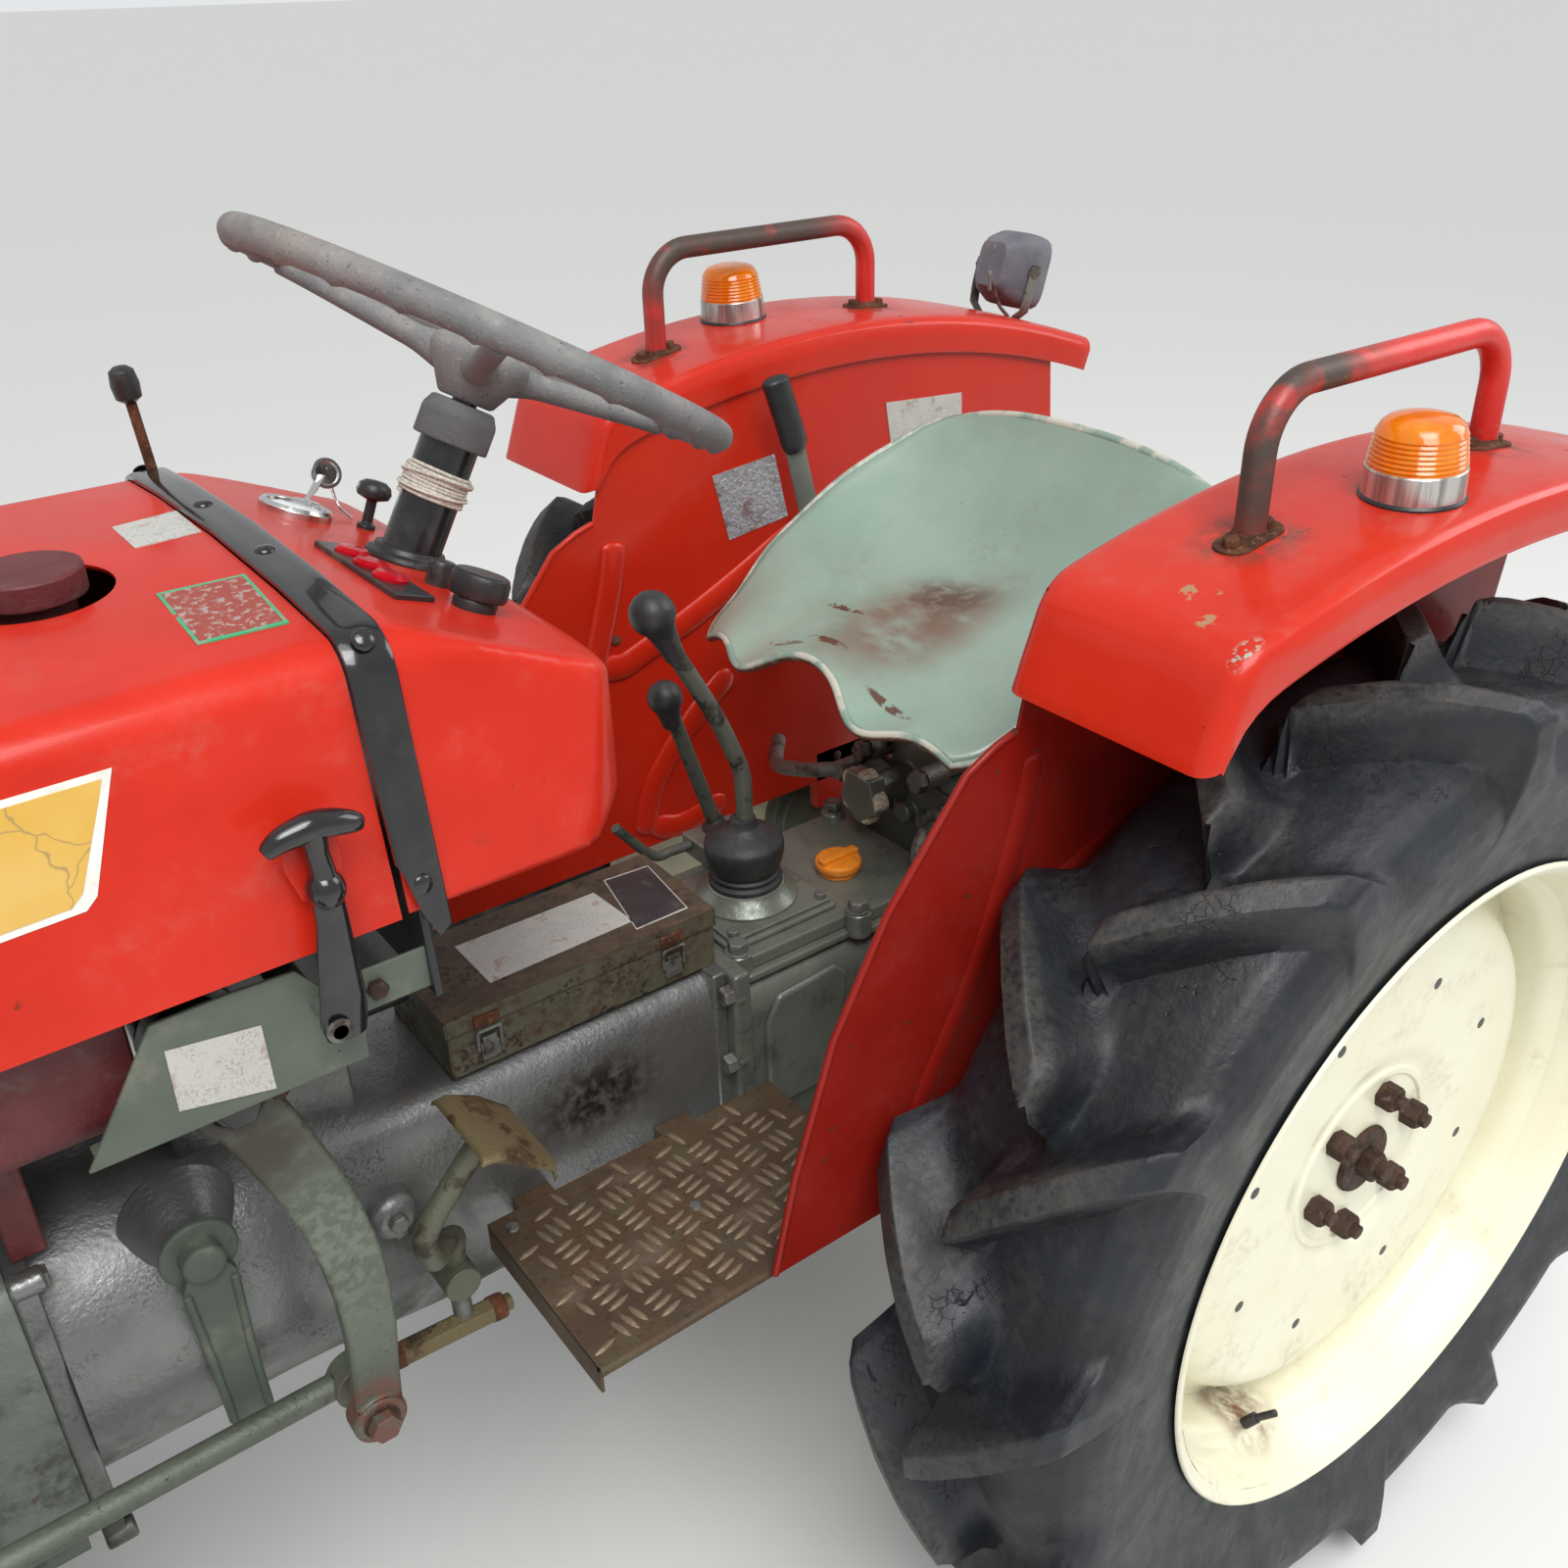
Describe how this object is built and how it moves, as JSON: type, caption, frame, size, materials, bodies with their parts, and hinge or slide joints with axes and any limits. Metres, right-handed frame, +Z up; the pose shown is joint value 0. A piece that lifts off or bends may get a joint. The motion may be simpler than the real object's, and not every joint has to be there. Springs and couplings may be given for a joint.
{
  "type": "vintage tractor",
  "caption": "Compact vintage farm tractor with an open driver's seat, red bonnet and fenders, and a rear lift linkage.",
  "frame": {"origin": "on the ground under the middle of the overall length and width", "axes": "+X forward, +Y to the driver's left, +Z up; the wheels stand on z = 0"},
  "size_m": [2.3318, 1.08, 1.372],
  "materials": {
    "tyre_rubber": "matte",
    "cream_paint": "satin",
    "red_paint": "satin",
    "green_grey_paint": "satin",
    "grey_casting": "matte",
    "silver_housing": "matte",
    "black_paint": "satin",
    "black_plastic": "matte",
    "grey_plastic": "matte",
    "worn_steel": "matte",
    "rusty_steel": "matte",
    "amber_lens": "gloss",
    "lamp_glass": "gloss"
  },
  "bodies": {
    "tractor": {"steering_column": "black_paint", "front_axle_beam": "green_grey_paint", "front_frame": "green_grey_paint", "engine": "grey_casting", "fan_and_alternator": "black_paint", "air_cleaner": "black_paint", "muffler": "rusty_steel", "radiator": "black_paint", "battery": "black_plastic", "fuel_tank": "black_paint", "clutch_housing": "silver_housing", "gearbox_case": "grey_casting", "gearbox_cover": "green_grey_paint", "axle_housings": "grey_casting", "lift_case": "grey_casting", "dash_cowl": "red_paint", "dash_controls": "black_plastic", "side_bracket": "black_paint", "fender_left": "red_paint", "fender_right": "red_paint", "grab_rails": "red_paint", "lamps": "amber_lens", "seat_pan": "green_grey_paint", "seat_support": "black_paint", "footboards": "rusty_steel", "pedals": "rusty_steel", "levers": "black_plastic", "toolbox": "rusty_steel", "rear_hitch": "rusty_steel"},
    "rear_wheel_left": {"rear_tyre_left": "tyre_rubber", "rear_rim_left": "cream_paint"},
    "rear_wheel_right": {"rear_tyre_right": "tyre_rubber", "rear_rim_right": "cream_paint"},
    "knuckle_left": {"knuckle_left": "green_grey_paint"},
    "knuckle_right": {"knuckle_right": "green_grey_paint"},
    "front_wheel_left": {"front_tyre_left": "tyre_rubber", "front_rim_left": "cream_paint"},
    "front_wheel_right": {"front_tyre_right": "tyre_rubber", "front_rim_right": "cream_paint"},
    "tie_rod": {"tie_rod": "green_grey_paint"},
    "steering_wheel": {"steering_wheel": "grey_plastic"},
    "drop_arm": {"drop_arm": "green_grey_paint"},
    "drag_link": {"drag_link": "green_grey_paint"},
    "hood": {"hood_panel": "red_paint", "grille": "black_paint", "headlamps": "lamp_glass"},
    "toolbox_lid": {"toolbox_lid": "rusty_steel"},
    "lift_arms": {"lift_arms": "grey_casting"},
    "lift_rods": {"lift_rods": "worn_steel"},
    "lower_link_left": {"lower_link_left": "worn_steel"},
    "lower_link_right": {"lower_link_right": "worn_steel"}
  },
  "joints": [
    {"name": "rear_wheel_left_spin", "type": "hinge", "parent": "tractor", "child": "rear_wheel_left", "pos_m": [-0.45214, 0.4275, 0.525], "axis": [0, 1, 0], "continuous": true},
    {"name": "rear_wheel_right_spin", "type": "hinge", "parent": "tractor", "child": "rear_wheel_right", "pos_m": [-0.45214, -0.4275, 0.525], "axis": [0, 1, 0], "continuous": true},
    {"name": "steer_left", "type": "hinge", "parent": "tractor", "child": "knuckle_left", "pos_m": [0.85786, 0.35, 0.455], "axis": [0, 0, 1], "range_deg": [-35, 35]},
    {"name": "steer_right", "type": "hinge", "parent": "tractor", "child": "knuckle_right", "pos_m": [0.85786, -0.35, 0.455], "axis": [0, 0, 1], "range_deg": [-35, 35]},
    {"name": "front_wheel_left_spin", "type": "hinge", "parent": "knuckle_left", "child": "front_wheel_left", "pos_m": [0.85786, 0.45, 0.292], "axis": [0, 1, 0], "continuous": true},
    {"name": "front_wheel_right_spin", "type": "hinge", "parent": "knuckle_right", "child": "front_wheel_right", "pos_m": [0.85786, -0.45, 0.292], "axis": [0, 1, 0], "continuous": true},
    {"name": "tie_rod_pivot", "type": "hinge", "parent": "knuckle_left", "child": "tie_rod", "pos_m": [0.72786, 0.35, 0.318], "axis": [0, 0, 1], "range_deg": [-35, 35]},
    {"name": "steering_wheel_turn", "type": "hinge", "parent": "tractor", "child": "steering_wheel", "pos_m": [0.11186, 0, 1.265], "axis": [-0.5, 0, 0.866], "range_deg": [-490, 490]},
    {"name": "drop_arm_swing", "type": "hinge", "parent": "tractor", "child": "drop_arm", "pos_m": [0.43186, 0.205, 0.90247], "axis": [0, -1, 0], "range_deg": [-19.5, 19.5]},
    {"name": "drag_link_pivot", "type": "hinge", "parent": "drop_arm", "child": "drag_link", "pos_m": [0.39186, 0.165, 0.587], "axis": [0, -1, 0], "range_deg": [-19.5, 19.5]},
    {"name": "hood_open", "type": "hinge", "parent": "tractor", "child": "hood", "pos_m": [1.12286, 0, 0.778], "axis": [0, 1, 0], "range_deg": [0, 60]},
    {"name": "toolbox_lid_open", "type": "hinge", "parent": "tractor", "child": "toolbox_lid", "pos_m": [0.12286, -0.041, 0.7773], "axis": [1, 0, 0], "range_deg": [0, 100]},
    {"name": "lift_arm_raise", "type": "hinge", "parent": "tractor", "child": "lift_arms", "pos_m": [-0.54814, 0, 0.758], "axis": [0, 1, 0], "range_deg": [0, 55]},
    {"name": "lift_rod_pivot", "type": "hinge", "parent": "lift_arms", "child": "lift_rods", "pos_m": [-0.7422, 0, 0.70962], "axis": [0, 1, 0], "range_deg": [-56.5, 0]},
    {"name": "lower_link_left_raise", "type": "hinge", "parent": "tractor", "child": "lower_link_left", "pos_m": [-0.54214, 0.152, 0.4], "axis": [0, 1, 0], "range_deg": [0, 39.5]},
    {"name": "lower_link_right_raise", "type": "hinge", "parent": "tractor", "child": "lower_link_right", "pos_m": [-0.54214, -0.152, 0.4], "axis": [0, 1, 0], "range_deg": [0, 39.5]}
  ],
  "couplings": [
    {"joint": "steer_right", "follows": "steer_left", "ratio": 1},
    {"joint": "tie_rod_pivot", "follows": "steer_left", "ratio": -1},
    {"joint": "steering_wheel_turn", "follows": "steer_left", "ratio": 14},
    {"joint": "drop_arm_swing", "follows": "steer_left", "ratio": 0.555},
    {"joint": "drag_link_pivot", "follows": "steer_left", "ratio": -0.555},
    {"joint": "lift_rod_pivot", "follows": "lift_arm_raise", "ratio": -1.02},
    {"joint": "lower_link_left_raise", "follows": "lift_arm_raise", "ratio": 0.713},
    {"joint": "lower_link_right_raise", "follows": "lift_arm_raise", "ratio": 0.713}
  ]
}
